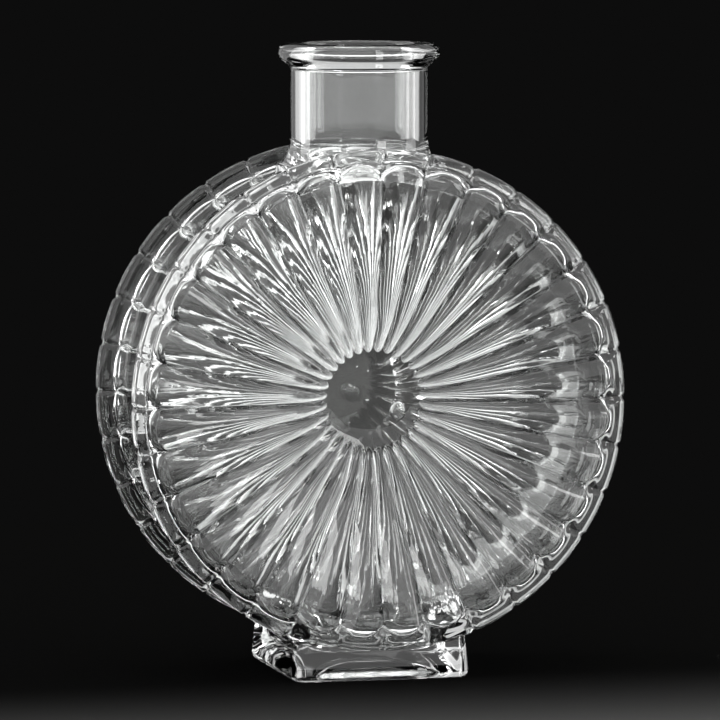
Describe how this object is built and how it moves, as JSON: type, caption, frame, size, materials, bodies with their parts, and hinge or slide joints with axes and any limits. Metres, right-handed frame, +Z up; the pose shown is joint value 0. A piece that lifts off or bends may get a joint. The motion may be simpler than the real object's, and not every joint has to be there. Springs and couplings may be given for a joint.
{
  "type": "flat round glass bottle",
  "caption": "Flat round bottle in clear thick glass: two dished faces of radial flutes round a plain disc, joined by a smooth band, with a short lipped neck and a rectangular foot.",
  "frame": {"origin": "on the surface the bottle stands on, under the centre of the foot and on the neck's axis", "axes": "+Z up along the neck, -Y out of the front face, +X to the right when looking at the front face"},
  "size_m": [0.1354, 0.057, 0.17],
  "materials": {
    "glass": "clear, polished, with faint chill wrinkles and seeds"
  },
  "bodies": {
    "root": {"front_wall": "glass", "back_wall": "glass", "side_band": "glass", "neck": "glass", "lip_ring": "glass", "foot": "glass"}
  },
  "joints": []
}
